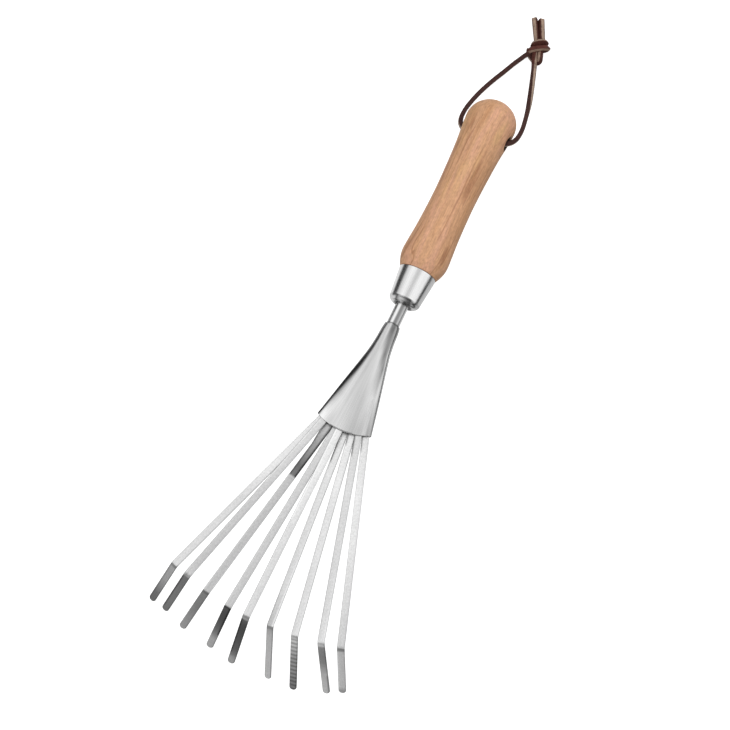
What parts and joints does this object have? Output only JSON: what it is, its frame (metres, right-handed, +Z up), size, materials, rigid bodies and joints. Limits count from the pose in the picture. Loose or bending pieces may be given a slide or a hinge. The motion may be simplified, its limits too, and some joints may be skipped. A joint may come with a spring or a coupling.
{
  "type": "hand fan rake",
  "caption": "Hand rake with a fan of flat spring-steel tines with bent tips, a pressed steel socket, a ferrule, a turned wooden handle and a knotted leather hanging thong.",
  "frame": {"origin": "on the surface that the rake lies on, under the middle of the rake without its thong", "axes": "+Y along the handle from the tines to the butt, +X across the fan, +Z up from the surface; the tine tips point down"},
  "size_m": [0.1438, 0.5071, 0.0366],
  "materials": {
    "wood": "oiled ash, straight grain along the handle",
    "ferrule_steel": "drawn stainless steel, polished",
    "shaft_steel": "round stainless bar, satin",
    "socket_steel": "pressed stainless sheet, polished",
    "tine_steel": "rolled stainless spring strip, satin",
    "leather": "square-cut dark brown thong with paler raw edges"
  },
  "bodies": {
    "rake": {"handle": "wood", "ferrule": "ferrule_steel", "shaft": "shaft_steel", "socket": "socket_steel", "tine_1": "tine_steel", "tine_2": "tine_steel", "tine_3": "tine_steel", "tine_4": "tine_steel", "tine_5": "tine_steel", "tine_6": "tine_steel", "tine_7": "tine_steel", "tine_8": "tine_steel", "tine_9": "tine_steel"},
    "hanging_loop": {"thong_left_arm": "leather", "thong_right_arm": "leather", "thong_knot": "leather", "thong_left_tail": "leather", "thong_right_tail": "leather"}
  },
  "joints": [
    {"name": "loop_swing", "type": "hinge", "parent": "rake", "child": "hanging_loop", "pos_m": [0, 0.1837, 0.0183], "axis": [1, 0, 0], "range_deg": [-150, 160]}
  ]
}
